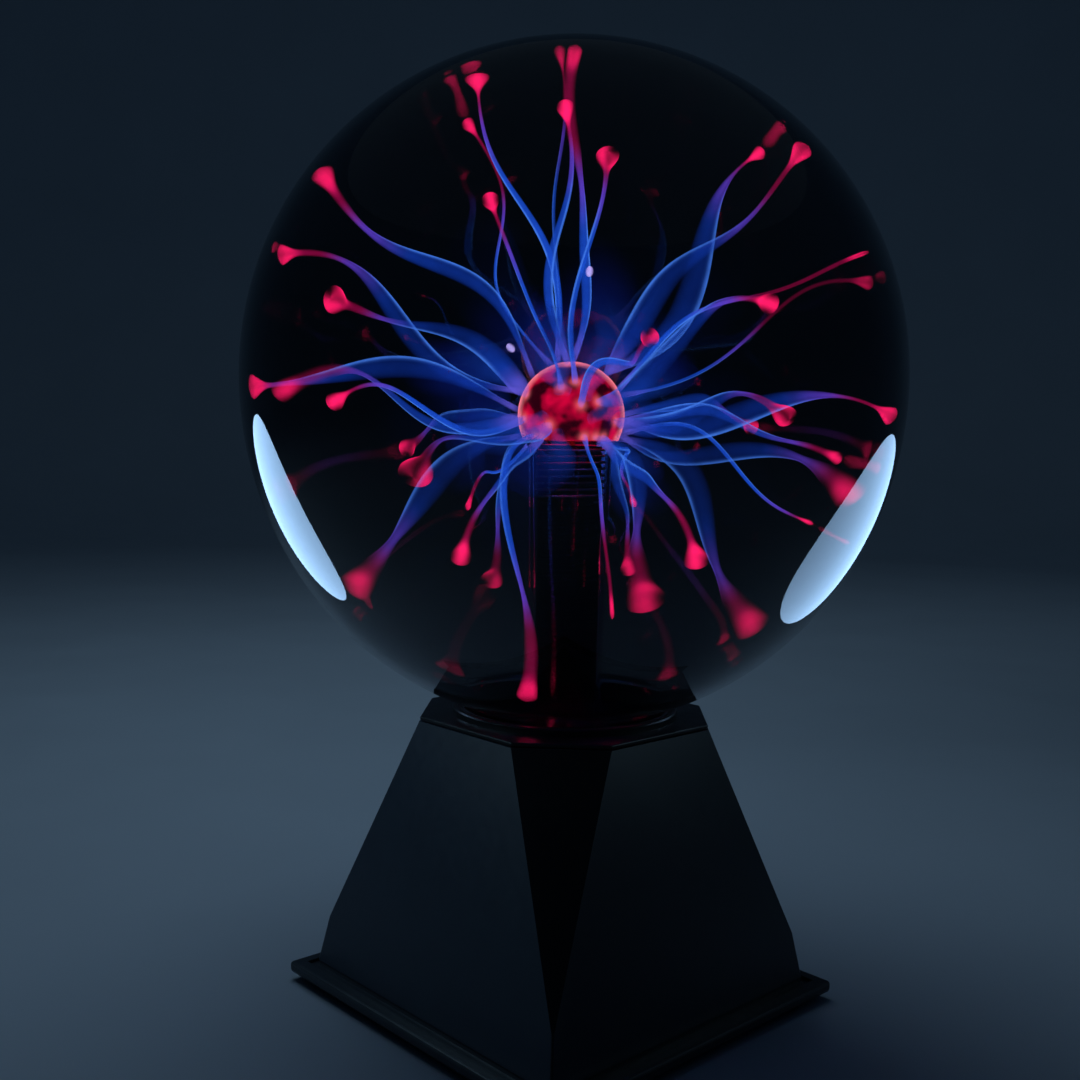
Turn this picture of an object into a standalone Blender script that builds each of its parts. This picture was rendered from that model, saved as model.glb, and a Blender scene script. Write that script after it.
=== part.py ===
"""Plasma ball: a gas-filled glass globe on a truncated-pyramid base.

Metres, +Z up. The origin is at the middle of the base, on the plane that the feet rest on.
The base's sides lie along X and Y, and the switch and the power jack are in its +Y wall.
"""

import math

import bmesh
import bpy
from mathutils import Matrix, Vector

GAP = 0.0003  # left between pieces that touch

# Globe and the glass inside it.
GLOBE_R = 0.1000
GLOBE_Z = 0.1928
GLOBE_DROP = 0.1047  # from the equator to where the lower half would close, so it is a little drawn out
GLOBE_WALL = 0.0020
NECK_R = 0.0305
NECK_TOP_Z = 0.0900
NECK_BOTTOM_Z = 0.0800
SHOULDER_R = 0.0345
BULB_R = 0.0163
BULB_Z = 0.1829
BULB_WALL = 0.0012
STEM_TOP_R = 0.0129
STEM_LOW_R = 0.0113
STEM_LOW_Z = 0.1000
STEM_WALL = 0.0010
FLARE_R = NECK_R - GLOBE_WALL - GAP
FLARE_Z = 0.0812
LINER_LOW_Z = 0.1753
LINER_WALL = 0.0010

# What fills the glass stem.
SLEEVE_R = 0.0098
SLEEVE_BORE_R = 0.0084
SLEEVE_TOP_Z = 0.1740
COIL_R = 0.01075
COIL_WIRE_R = 0.0004
COIL_LOW_Z = 0.1566
COIL_PITCH = 0.0020
COIL_TURNS = 8.5
PLUG_R = 0.0080
PLUG_TOP_Z = 0.1138
PLUG_FLANGE_R = 0.0095
PLUG_FLANGE_H = 0.0032
LEAD_BORE_R = 0.0020
HV_LEAD_R = 0.0013
HV_LEAD_TOP_Z = 0.1795

# Base.
FOOT_R = 0.0062
FOOT_H = 0.0020
FOOT_AT = 0.0500
PLATE_HALF = 0.0614
PLATE_Z = FOOT_H + GAP
PLATE_TOP_Z = 0.0059
LAND_HALF = 0.0545
GROOVE_HALF = 0.0572
GROOVE_DEPTH = 0.0010
VENT_SIZE = (0.0025, 0.0220, 0.0200)
VENT_PITCH = 0.0070
VENT_COUNT = 6
HEAD_SEAT_Z = 0.0043  # where a base screw's head stops in its well
HEAD_WELL_R = 0.0036
SCREW_WAY_R = 0.0018
HOUSING_Z = 0.0067
HOUSING_TOP_Z = 0.0888
HOUSING_HALF = 0.0549
HOUSING_TOP_HALF = 0.0411
HOUSING_TOP_CUT = 0.0211  # where the corner chamfer meets the top edge, from the middle of the side
CHAMFER_APEX_Z = 0.0192
HOUSING_WALL = 0.0022
POST_AT = 0.0420
POST_R = 0.0038
POST_TOP_Z = 0.0290
POST_BORE_R = 0.0013
POST_BORE_TOP_Z = 0.0240
RIB_REACH = 0.0693  # from the axis to where a post's rib is buried in the corner wall
RIB_LENGTH = 0.0110
RIB_THICK = 0.0020
RIB_HEIGHT = 0.0170
COLLAR_Z = HOUSING_TOP_Z + GAP
COLLAR_TOP_Z = 0.0903
COLLAR_HOLE_R = 0.0338
BEAD_R = 0.0354
BEAD_TOP_Z = 0.0924
SKIRT_HALF = 0.0382
SKIRT_WALL = 0.0018
SKIRT_Z = 0.0840
BOSS_R = 0.0023
BOSS_BORE_R = 0.0010
BOSS_BORE_TOP_Z = 0.0882
GASKET_Z = 0.0865
CUP_R = 0.0334
CUP_BORE_R = 0.0312
CUP_Z = 0.0740
CUP_FLOOR = 0.0020
CUP_FLANGE_R = 0.0389
CUP_FLANGE_TOP_Z = SKIRT_Z - GAP
CUP_FLANGE_H = 0.0022
CUP_SCREW_AT = 0.0366
CUP_HOLE_R = 0.0014
CUP_DRAIN_R = 0.0030

# Electronics.
BOARD_SIZE = (0.0840, 0.0580, 0.0016)
BOARD_Y = -0.0040
BOARD_Z = 0.0143
BOARD_TOP_Z = BOARD_Z + BOARD_SIZE[2]
STANDOFF_R = 0.0030
STANDOFF_AT = (0.0375, 0.0245)
STANDOFF_BORE_R = 0.0011
BOARD_HOLE_R = 0.0013
ON_BOARD_Z = BOARD_TOP_Z + GAP
CORE_SIZE = (0.0320, 0.0090, 0.0340)
CORE_WINDOW = (0.0180, 0.0200, 0.0200)
CORE_AT = (-0.0140, -0.0040)
WINDING_R = 0.0088
SINK_SIZE = (0.0100, 0.0260, 0.0260)
SINK_AT = (0.0310, -0.0040)
FIN_GAP = (0.0080, 0.0036, 0.0500)
FIN_PITCH = 0.0058
TRANSISTOR_SIZE = (0.0044, 0.0102, 0.0152)
TRANSISTOR_LEG = (0.0006, 0.0009, 0.0058)
TRANSISTOR_LEG_PITCH = 0.0025
CHIP_SIZE = (0.0096, 0.0064, 0.0034)
CHIP_AT = (0.0140, 0.0140)
CAPACITORS = ((0.0051, 0.0165, (0.0135, -0.0240)), (0.0040, 0.0120, (0.0010, -0.0250)))
MICROPHONE_R = 0.0030
MICROPHONE_H = 0.0050
MICROPHONE_AT = (-0.0040, 0.0170)
LEAD_R = 0.0007
LEAD_HALF_PITCH = 0.0022

# Back wall stations, measured on the wall's outer face.
SWITCH_X = -0.0170
JACK_X = 0.0190
STATION_Z = 0.0270
SWITCH_TRAVEL = 0.0035  # either way from the middle position
KNOB_SIZE = (0.0044, 0.0042)
SLOT_SIZE = (KNOB_SIZE[0] + 2 * SWITCH_TRAVEL + 0.0008, KNOB_SIZE[1] + 0.0008)
SWITCH_SCREW_AT = 0.0122
SWITCH_HOLE_R = 0.0012
SWITCH_FLANGE = (0.0290, 0.0008, 0.0070)
SWITCH_CAN = (0.0200, 0.0070, 0.0068)
SLIDER_FOOT = (0.0070, 0.0030, 0.0040)
SLIDER_FOOT_DEPTH = 0.0024  # its middle, in from the wall's inner face
CHANNEL_DEPTH = 0.0044
KNOB_OUT = 0.0020
KNOB_GROOVE = (0.0006, 0.0010, 0.0100)
KNOB_GROOVE_PITCH = 0.0012
JACK_SIZE = (0.0092, 0.0120, 0.0108)
JACK_BORE_DEPTH = 0.0110
JACK_PIN_DEPTH = 0.0012
JACK_NOSE_R = 0.0041
JACK_BORE_R = 0.0029
JACK_PIN_R = 0.00105

WALL_LEAN = math.atan2(HOUSING_HALF - HOUSING_TOP_HALF, HOUSING_TOP_Z - HOUSING_Z)

parts = None
cutters = None
finish = {}


def make_material(name, color, roughness, metallic=0.0, transmission=0.0):
    made = bpy.data.materials.new(name)
    made.use_nodes = True
    shader = made.node_tree.nodes["Principled BSDF"]
    shader.inputs["Base Color"].default_value = (*color, 1.0)
    shader.inputs["Roughness"].default_value = roughness
    shader.inputs["Metallic"].default_value = metallic
    shader.inputs["Transmission Weight"].default_value = transmission
    finish[name] = made


def start_scene():
    global parts, cutters
    for obj in list(bpy.data.objects):
        bpy.data.objects.remove(obj)
    parts = bpy.data.collections.new("plasma_ball")
    cutters = bpy.data.collections.new("cutters")
    for collection in (parts, cutters):
        bpy.context.scene.collection.children.link(collection)
    make_material("globe_glass", (0.92, 0.95, 1.0), 0.03, transmission=1.0)
    make_material("electrode", (0.55, 0.02, 0.05), 0.35)
    make_material("satin_black", (0.012, 0.013, 0.016), 0.42)
    make_material("gloss_black", (0.008, 0.008, 0.010), 0.16)
    make_material("rubber", (0.020, 0.020, 0.022), 0.80)
    make_material("steel", (0.60, 0.60, 0.62), 0.30, metallic=1.0)
    make_material("copper", (0.75, 0.36, 0.18), 0.32, metallic=1.0)
    make_material("board_green", (0.02, 0.17, 0.07), 0.50)
    make_material("ferrite", (0.055, 0.055, 0.060), 0.65)
    make_material("winding_tape", (0.50, 0.36, 0.08), 0.50)
    make_material("aluminium", (0.70, 0.71, 0.72), 0.38, metallic=1.0)
    make_material("component_black", (0.015, 0.015, 0.018), 0.45)
    make_material("capacitor_sleeve", (0.03, 0.05, 0.13), 0.35)
    make_material("red_lead", (0.50, 0.02, 0.02), 0.45)


def add(name, mesh, material, at=(0, 0, 0), parent=None):
    """A part, or a cutter where material is None."""
    obj = bpy.data.objects.new(name, mesh)
    obj.location = at
    obj.parent = parent
    if material is None:
        cutters.objects.link(obj)
        obj.hide_render = True
        obj.display_type = "WIRE"
    else:
        parts.objects.link(obj)
        if not mesh.materials:
            mesh.materials.append(finish[material])
    return obj


def mesh_from(bm, name, smooth=False):
    mesh = bpy.data.meshes.new(name)
    bm.to_mesh(mesh)
    bm.free()
    if smooth:
        mesh.shade_smooth()
        mesh.set_sharp_from_angle(angle=math.radians(35))
    return mesh


def box_mesh(size, bevel=0.0):
    bm = bmesh.new()
    bmesh.ops.create_cube(bm, size=1.0)
    bmesh.ops.scale(bm, vec=size, verts=bm.verts)
    if bevel:
        bmesh.ops.bevel(bm, geom=bm.edges[:], offset=bevel, segments=2, profile=0.5, affect="EDGES")
    return mesh_from(bm, "box")


def box(name, size, material, at=(0, 0, 0), parent=None, bevel=0.0):
    return add(name, box_mesh(size, bevel), material, at, parent)


def rod_mesh(radius, length, segments=20, bevel=0.0):
    """A cylinder along Z, centred on the origin."""
    bm = bmesh.new()
    bmesh.ops.create_cone(
        bm, cap_ends=True, segments=segments, radius1=radius, radius2=radius, depth=length
    )
    if bevel:
        rims = [edge for edge in bm.edges if abs(edge.verts[0].co.z - edge.verts[1].co.z) < 1e-7]
        bmesh.ops.bevel(bm, geom=rims, offset=bevel, segments=1, affect="EDGES")
    return mesh_from(bm, "rod", smooth=True)


def rod(name, radius, low, high, material, at=(0, 0), segments=20, bevel=0.0):
    """An upright cylinder between two heights."""
    mesh = rod_mesh(radius, high - low, segments, bevel)
    return add(name, mesh, material, (at[0], at[1], (low + high) / 2))


def turned(name, profile, material, steps, closed=False, at=(0, 0, 0)):
    """The (radius, height) profile swept about Z. It runs down the outer side first."""
    mesh = bpy.data.meshes.new(name)
    points = [(radius, 0, height) for radius, height in profile]
    edges = [(i, i + 1) for i in range(len(points) - 1)]
    if closed:
        edges.append((len(points) - 1, 0))
    mesh.from_pydata(points, edges, [])
    obj = add(name, mesh, material, at)
    screw = obj.modifiers.new("turn", "SCREW")
    screw.steps = steps
    screw.render_steps = steps
    screw.use_merge_vertices = True
    screw.merge_threshold = 0.00005
    screw.use_smooth_shade = True
    return obj


def combine(obj, other, operation):
    boolean = obj.modifiers.new(other.name, "BOOLEAN")
    boolean.operation = operation
    boolean.object = other
    boolean.solver = "EXACT"


def cut(obj, *tools):
    for tool in tools:
        combine(obj, tool, "DIFFERENCE")


def join(obj, *tools):
    for tool in tools:
        combine(obj, tool, "UNION")


def baked(obj):
    """The object's evaluated mesh, for copies to share."""
    graph = bpy.context.evaluated_depsgraph_get()
    mesh = bpy.data.meshes.new_from_object(obj.evaluated_get(graph))
    mesh.name = obj.name
    return mesh


def arc(radius, height, start, end, count, drop=None):
    """Points of an arc about the axis, angles in degrees down from the top. drop is its height's radius."""
    tall = radius if drop is None else drop
    angles = [math.radians(start + (end - start) * i / (count - 1)) for i in range(count)]
    return [(radius * math.sin(a), height + tall * math.cos(a)) for a in angles]


def bend(start, corner, end, count):
    """A quadratic curve between two points, without its first."""
    made = []
    for i in range(1, count + 1):
        t = i / count
        weights = ((1 - t) ** 2, 2 * t * (1 - t), t * t)
        made.append(
            tuple(sum(w * p[k] for w, p in zip(weights, (start, corner, end))) for k in (0, 1))
        )
    return made


def smooth_path(route, per_span):
    """Points on a Catmull-Rom curve through the route."""
    ends = [route[0] * 2 - route[1], *route, route[-1] * 2 - route[-2]]
    made = []
    for i in range(len(route) - 1):
        a, b, c, d = ends[i : i + 4]
        for k in range(per_span):
            t = k / per_span
            made.append(
                b
                + (c - a) * (t / 2)
                + (a * 2 - b * 5 + c * 4 - d) * (t * t / 2)
                + (b * 3 - a - c * 3 + d) * (t * t * t / 2)
            )
    return [*made, route[-1]]


def wire(name, points, radius, material, resolution=2):
    curve = bpy.data.curves.new(name, "CURVE")
    curve.dimensions = "3D"
    curve.bevel_depth = radius
    curve.bevel_resolution = resolution
    curve.use_fill_caps = True
    spline = curve.splines.new("POLY")
    spline.points.add(len(points) - 1)
    for point, place in zip(spline.points, points):
        point.co = (*place, 1.0)
    curve.materials.append(finish[material])
    obj = bpy.data.objects.new(name, curve)
    parts.objects.link(obj)
    return obj


# ---- glass --------------------------------------------------------------------------------------


def globe_side(inset, count):
    """The globe's side from the pole to the foot of the neck, moved in by inset."""
    radius = GLOBE_R - inset
    drop = GLOBE_DROP - inset
    neck = NECK_R - inset
    shoulder = math.degrees(math.asin((SHOULDER_R - inset) / radius))
    upper = arc(radius, GLOBE_Z, 0, 90, count)
    lower = arc(radius, GLOBE_Z, 90, 180 - shoulder, count - 1, drop)
    corner = (neck, NECK_TOP_Z + 0.0032)
    throat = bend(lower[-1], corner, (neck, NECK_TOP_Z), 3)
    return [*upper, *lower[1:], *throat, (neck, NECK_BOTTOM_Z)]


def make_globe():
    profile = globe_side(0, 9) + globe_side(GLOBE_WALL, 7)[::-1]
    turned("glass_globe", profile, "globe_glass", 36)


def stem_side(inset, count):
    """The stem's side from the bulb's top, down the tube and out along the flare."""
    bulb = BULB_R - inset * BULB_WALL
    top = STEM_TOP_R - inset * STEM_WALL
    low = STEM_LOW_R - inset * STEM_WALL
    meets = 180 - math.degrees(math.asin(top / bulb))
    side = arc(bulb, BULB_Z, 0, meets, count)
    flare_start = (low, STEM_LOW_Z)
    flare_end = (FLARE_R, FLARE_Z + STEM_WALL * (1 - inset))
    corner = (low + 0.0006, FLARE_Z + STEM_WALL * (1 - inset) + 0.0006)
    return [*side, flare_start, *bend(flare_start, corner, flare_end, 5)]


def make_stem():
    turned("glass_stem", stem_side(0, 8) + stem_side(1, 7)[::-1], "globe_glass", 28)
    tip = [(0, FLARE_Z - GAP), (0.0024, FLARE_Z - GAP), (0.0024, 0.0790)]
    tip += [(0.0016, 0.0776), (0, 0.0770)]
    turned("exhaust_tip", tip, "globe_glass", 12, at=(0.0200, 0, 0))


def make_electrode():
    outer = BULB_R - BULB_WALL - GAP
    inner = outer - LINER_WALL
    angles = [90 + math.degrees(math.asin((BULB_Z - LINER_LOW_Z) / r)) for r in (outer, inner)]
    profile = arc(outer, BULB_Z, 0, angles[0], 8) + arc(inner, BULB_Z, 0, angles[1], 7)[::-1]
    turned("electrode_liner", profile, "electrode", 24)


def make_stem_filling():
    low = CUP_Z + CUP_FLOOR + GAP
    flange_top = low + PLUG_FLANGE_H
    plug = [(PLUG_R, PLUG_TOP_Z), (PLUG_R, flange_top), (PLUG_FLANGE_R, flange_top)]
    plug += [(PLUG_FLANGE_R, low), (LEAD_BORE_R, low), (LEAD_BORE_R, PLUG_TOP_Z)]
    turned("stem_plug", plug, "gloss_black", 20, closed=True)
    foot = flange_top + GAP
    sleeve = [(SLEEVE_R, SLEEVE_TOP_Z), (SLEEVE_R, foot), (SLEEVE_BORE_R, foot)]
    sleeve += [(SLEEVE_BORE_R, SLEEVE_TOP_Z)]
    turned("stem_sleeve", sleeve, "satin_black", 24, closed=True)
    per_turn = 10
    count = int(COIL_TURNS * per_turn) + 1
    coil = []
    for i in range(count):
        turn = i / per_turn
        angle = turn * math.tau
        height = COIL_LOW_Z + turn * COIL_PITCH
        coil.append(Vector((COIL_R * math.cos(angle), COIL_R * math.sin(angle), height)))
    wire("contact_coil", coil, COIL_WIRE_R, "steel", resolution=1)


# ---- base ---------------------------------------------------------------------------------------


def pyramid_mesh(inset=0.0, extra=0.0):
    """The housing's solid, with its sides moved in by inset and its ends moved out by extra."""
    slope = math.tan(WALL_LEAN)
    low, high = HOUSING_Z - extra, HOUSING_TOP_Z + extra
    half_low = HOUSING_HALF + extra * slope - inset / math.cos(WALL_LEAN)
    half_high = HOUSING_TOP_HALF - extra * slope - inset / math.cos(WALL_LEAN)
    bm = bmesh.new()
    bmesh.ops.create_cone(
        bm,
        cap_ends=True,
        segments=4,
        radius1=half_low * math.sqrt(2),
        radius2=half_high * math.sqrt(2),
        depth=high - low,
        matrix=Matrix.Translation((0, 0, (low + high) / 2)) @ Matrix.Rotation(math.pi / 4, 4, "Z"),
    )
    apex_half = HOUSING_HALF - slope * (CHAMFER_APEX_Z - HOUSING_Z)
    apex = Vector((apex_half, apex_half, CHAMFER_APEX_Z))
    first = Vector((HOUSING_TOP_HALF, HOUSING_TOP_CUT, HOUSING_TOP_Z))
    second = Vector((HOUSING_TOP_CUT, HOUSING_TOP_HALF, HOUSING_TOP_Z))
    normal = (second - apex).cross(first - apex).normalized()
    for quarter in range(4):
        turn = Matrix.Rotation(quarter * math.pi / 2, 3, "Z")
        bmesh.ops.bisect_plane(
            bm,
            geom=[*bm.verts, *bm.edges, *bm.faces],
            plane_co=turn @ (apex - normal * inset),
            plane_no=turn @ normal,
            clear_outer=True,
        )
        bmesh.ops.holes_fill(bm, edges=[edge for edge in bm.edges if edge.is_boundary])
    bmesh.ops.recalc_face_normals(bm, faces=bm.faces)
    return mesh_from(bm, "pyramid")


def octagon_mesh(half, low, high):
    """An upright octagonal prism in the housing's top proportions."""
    corner = half * HOUSING_TOP_CUT / HOUSING_TOP_HALF
    bm = bmesh.new()
    bmesh.ops.create_cube(bm, size=1.0)
    bmesh.ops.scale(bm, vec=(2 * half, 2 * half, high - low), verts=bm.verts)
    bmesh.ops.translate(bm, vec=(0, 0, (low + high) / 2), verts=bm.verts)
    upright = [edge for edge in bm.edges if abs(edge.verts[0].co.z - edge.verts[1].co.z) > 1e-6]
    bmesh.ops.bevel(bm, geom=upright, offset=half - corner, segments=1, affect="EDGES")
    return mesh_from(bm, "octagon")


def four_corners(reach_x, reach_y=None):
    reach_y = reach_x if reach_y is None else reach_y
    return [(sx * reach_x, sy * reach_y) for sx in (-1, 1) for sy in (-1, 1)]


def wall_station(name, x):
    """An empty on the back wall's outer face. Its +Y points straight out of the wall."""
    station = bpy.data.objects.new(name, None)
    y = HOUSING_HALF - (STATION_Z - HOUSING_Z) * math.tan(WALL_LEAN)
    station.location = (x, y, STATION_Z)
    station.rotation_euler = (WALL_LEAN, 0, 0)
    parts.objects.link(station)
    return station


def across_wall(name, radius, near, far, material, parent, x=0.0, z=0.0, segments=16):
    """A cylinder along the station's Y, from near to far."""
    obj = add(name, rod_mesh(radius, abs(far - near), segments), material, parent=parent)
    obj.location = (x, (near + far) / 2, z)
    obj.rotation_euler = (math.pi / 2, 0, 0)
    return obj


def make_housing(switch_station, jack_station):
    housing = add("housing", pyramid_mesh(), "satin_black")
    cut(housing, add("hollow", pyramid_mesh(inset=HOUSING_WALL, extra=0.005), None))
    rib_size = (RIB_LENGTH, RIB_THICK, RIB_HEIGHT)
    rib_at = (RIB_REACH - RIB_LENGTH / 2) / math.sqrt(2)
    for i, (x, y) in enumerate(four_corners(POST_AT)):
        post = rod(f"post_{i}", POST_R, HOUSING_Z, POST_TOP_Z, None, (x, y), segments=16)
        rib_z = POST_TOP_Z - 0.0004 - rib_size[2] / 2
        rib = box(f"rib_{i}", rib_size, None, (math.copysign(rib_at, x), math.copysign(rib_at, y), rib_z))
        rib.rotation_euler = (0, 0, math.atan2(y, x))
        bore = rod(
            f"post_bore_{i}", POST_BORE_R, HOUSING_Z - 0.001, POST_BORE_TOP_Z, None, (x, y), segments=10
        )
        join(housing, post, rib)
        cut(housing, bore)
    slot = box("slot", (SLOT_SIZE[0], 0.0120, SLOT_SIZE[1]), None, parent=switch_station)
    cut(housing, slot)
    for side in (-1, 1):
        x = side * SWITCH_SCREW_AT
        hole = across_wall(f"switch_hole_{side}", SWITCH_HOLE_R, -0.006, 0.006, None, switch_station, x)
        cut(housing, hole)
    cut(housing, across_wall("jack_hole", JACK_NOSE_R + GAP, -0.006, 0.006, None, jack_station))


def make_plate():
    size = (2 * PLATE_HALF, 2 * PLATE_HALF, PLATE_TOP_Z - PLATE_Z)
    middle = (PLATE_Z + PLATE_TOP_Z) / 2
    plate = box("bottom_plate", size, "satin_black", (0, 0, middle), bevel=0.0011)
    land_top = HOUSING_Z - GAP
    land_high = land_top - PLATE_TOP_Z
    land_at = (0, 0, PLATE_TOP_Z + land_high / 2 - 0.0005)
    land = box("land", (2 * LAND_HALF, 2 * LAND_HALF, land_high + 0.001), None, land_at)
    groove_size = (2 * GROOVE_HALF, 2 * GROOVE_HALF, 2 * GROOVE_DEPTH)
    groove = box("groove", groove_size, None, (0, 0, PLATE_TOP_Z))
    core_side = 2 * LAND_HALF - 0.0006
    core = box("groove_core", (core_side, core_side, 0.01), None, (0, 0, PLATE_TOP_Z))
    cut(groove, core)
    cut(plate, groove)
    join(plate, land)
    for i, (x, y) in enumerate(four_corners(*STANDOFF_AT)):
        at = (x, y + BOARD_Y)
        join(plate, rod(f"standoff_{i}", STANDOFF_R, 0.005, BOARD_Z - GAP, None, at, segments=14))
        bore_top = BOARD_Z + 0.001
        cut(plate, rod(f"standoff_bore_{i}", STANDOFF_BORE_R, 0.0075, bore_top, None, at, segments=8))
    for i, (x, y) in enumerate(four_corners(POST_AT)):
        cut(plate, rod(f"screw_way_{i}", SCREW_WAY_R, 0, land_top + 0.002, None, (x, y), segments=12))
        cut(plate, rod(f"screw_head_well_{i}", HEAD_WELL_R, 0, HEAD_SEAT_Z, None, (x, y), segments=16))
    for i in range(VENT_COUNT):
        vent_at = ((i - (VENT_COUNT - 1) / 2) * VENT_PITCH, 0, PLATE_Z)
        cut(plate, box(f"vent_{i}", VENT_SIZE, None, vent_at))


def make_collar():
    top = octagon_mesh(HOUSING_TOP_HALF - 0.0002, COLLAR_Z, COLLAR_TOP_Z)
    collar = add("top_collar", top, "gloss_black")
    edge = collar.modifiers.new("edge", "BEVEL")
    edge.width = 0.0004
    edge.segments = 2
    skirt = add("skirt", octagon_mesh(SKIRT_HALF, SKIRT_Z, COLLAR_Z + 0.0005), None)
    bore = add("skirt_bore", octagon_mesh(SKIRT_HALF - SKIRT_WALL, SKIRT_Z - 0.001, COLLAR_Z), None)
    cut(skirt, bore)
    bead = [(BEAD_R - 0.0005, BEAD_TOP_Z), (BEAD_R - 0.0001, BEAD_TOP_Z - 0.0004)]
    bead += [(BEAD_R, COLLAR_TOP_Z - 0.0005), (COLLAR_HOLE_R - 0.0005, COLLAR_TOP_Z - 0.0005)]
    bead += [(COLLAR_HOLE_R - 0.0005, BEAD_TOP_Z)]
    join(collar, skirt, turned("bead", bead, None, 36, closed=True))
    for i, (x, y) in enumerate(four_corners(CUP_SCREW_AT / math.sqrt(2))):
        boss = rod(f"boss_{i}", BOSS_R, SKIRT_Z, COLLAR_Z + 0.0004, None, (x, y), segments=12)
        join(collar, boss)
        bore_low = SKIRT_Z - 0.001
        cut(collar, rod(f"boss_bore_{i}", BOSS_BORE_R, bore_low, BOSS_BORE_TOP_Z, None, (x, y), segments=8))
    cut(collar, rod("neck_way", COLLAR_HOLE_R, 0.07, 0.11, None, segments=36))


def make_neck_mount():
    gasket_bore = NECK_R + GAP
    gasket_r = COLLAR_HOLE_R - GAP
    gasket_top = BEAD_TOP_Z - 0.0001
    gasket = [(gasket_r - 0.0006, gasket_top), (gasket_r, gasket_top - 0.0006), (gasket_r, GASKET_Z)]
    gasket += [(gasket_bore, GASKET_Z), (gasket_bore, NECK_TOP_Z + 0.0001)]
    gasket += [(gasket_bore + 0.0007, gasket_top - 0.0008), (gasket_bore + 0.0013, gasket_top)]
    turned("globe_gasket", gasket, "rubber", 36, closed=True)
    flange_low = CUP_FLANGE_TOP_Z - CUP_FLANGE_H
    rim = GASKET_Z - GAP
    floor = CUP_Z + CUP_FLOOR
    cup = [(CUP_R, rim), (CUP_R, CUP_FLANGE_TOP_Z), (CUP_FLANGE_R, CUP_FLANGE_TOP_Z)]
    cup += [(CUP_FLANGE_R, flange_low), (CUP_R, flange_low), (CUP_R, CUP_Z), (CUP_DRAIN_R, CUP_Z)]
    cup += [(CUP_DRAIN_R, floor), (CUP_BORE_R, floor), (CUP_BORE_R, rim)]
    neck_cup = turned("neck_cup", cup, "satin_black", 32, closed=True)
    for i, (x, y) in enumerate(four_corners(CUP_SCREW_AT / math.sqrt(2))):
        cut(neck_cup, rod(f"cup_hole_{i}", CUP_HOLE_R, 0.07, 0.09, None, (x, y), segments=10))


def make_feet():
    mesh = rod_mesh(FOOT_R, FOOT_H, 18, bevel=0.0003)
    for i, (x, y) in enumerate(four_corners(FOOT_AT), 1):
        add(f"foot_{i}", mesh, "rubber", (x, y, FOOT_H / 2))


def screw_mesh(name, head_r, head_h, shank_r, shank_length, slot_width):
    """A pan-head screw with a cross recess. Its head's underside is at the origin and it points down."""
    profile = [(0, head_h), (head_r * 0.7, head_h * 0.9), (head_r, head_h * 0.4), (head_r, 0)]
    profile += [(shank_r, 0), (shank_r, -shank_length + shank_r), (0, -shank_length)]
    sample = turned(name, profile, "steel", 10)
    sample.modifiers["turn"].use_smooth_shade = False
    for i, size in enumerate(((head_r * 1.15, slot_width), (slot_width, head_r * 1.15))):
        recess = box(f"{name}_recess_{i}", (*size, head_h * 0.9), None, (0, 0, head_h))
        cut(sample, recess)
    mesh = baked(sample)
    bpy.data.objects.remove(sample)
    return mesh


def make_screws(switch_station):
    base = screw_mesh("base_screw", 0.0030, 0.0018, 0.0011, 0.0170, 0.0010)
    for i, (x, y) in enumerate(four_corners(POST_AT), 1):
        screw = add(f"base_screw_{i}", base, "steel", (x, y, HEAD_SEAT_Z - GAP))
        screw.rotation_euler = (math.pi, 0, 0)
    board = screw_mesh("board_screw", 0.0024, 0.0015, 0.0009, 0.0068, 0.0008)
    for i, (x, y) in enumerate(four_corners(*STANDOFF_AT), 1):
        add(f"board_screw_{i}", board, "steel", (x, y + BOARD_Y, ON_BOARD_Z))
    cup = screw_mesh("cup_screw", 0.0020, 0.0014, 0.0008, 0.0058, 0.0007)
    flange_low = CUP_FLANGE_TOP_Z - CUP_FLANGE_H
    for i, (x, y) in enumerate(four_corners(CUP_SCREW_AT / math.sqrt(2)), 1):
        screw = add(f"cup_screw_{i}", cup, "steel", (x, y, flange_low - GAP))
        screw.rotation_euler = (math.pi, 0, 0)
    panel = screw_mesh("switch_screw", 0.0020, 0.0012, 0.0009, 0.0052, 0.0007)
    for i, side in enumerate((-1, 1), 1):
        screw = add(f"switch_screw_{i}", panel, "steel", parent=switch_station)
        screw.location = (side * SWITCH_SCREW_AT, GAP, 0)
        screw.rotation_euler = (-math.pi / 2, 0, 0)


# ---- back wall ----------------------------------------------------------------------------------


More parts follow.
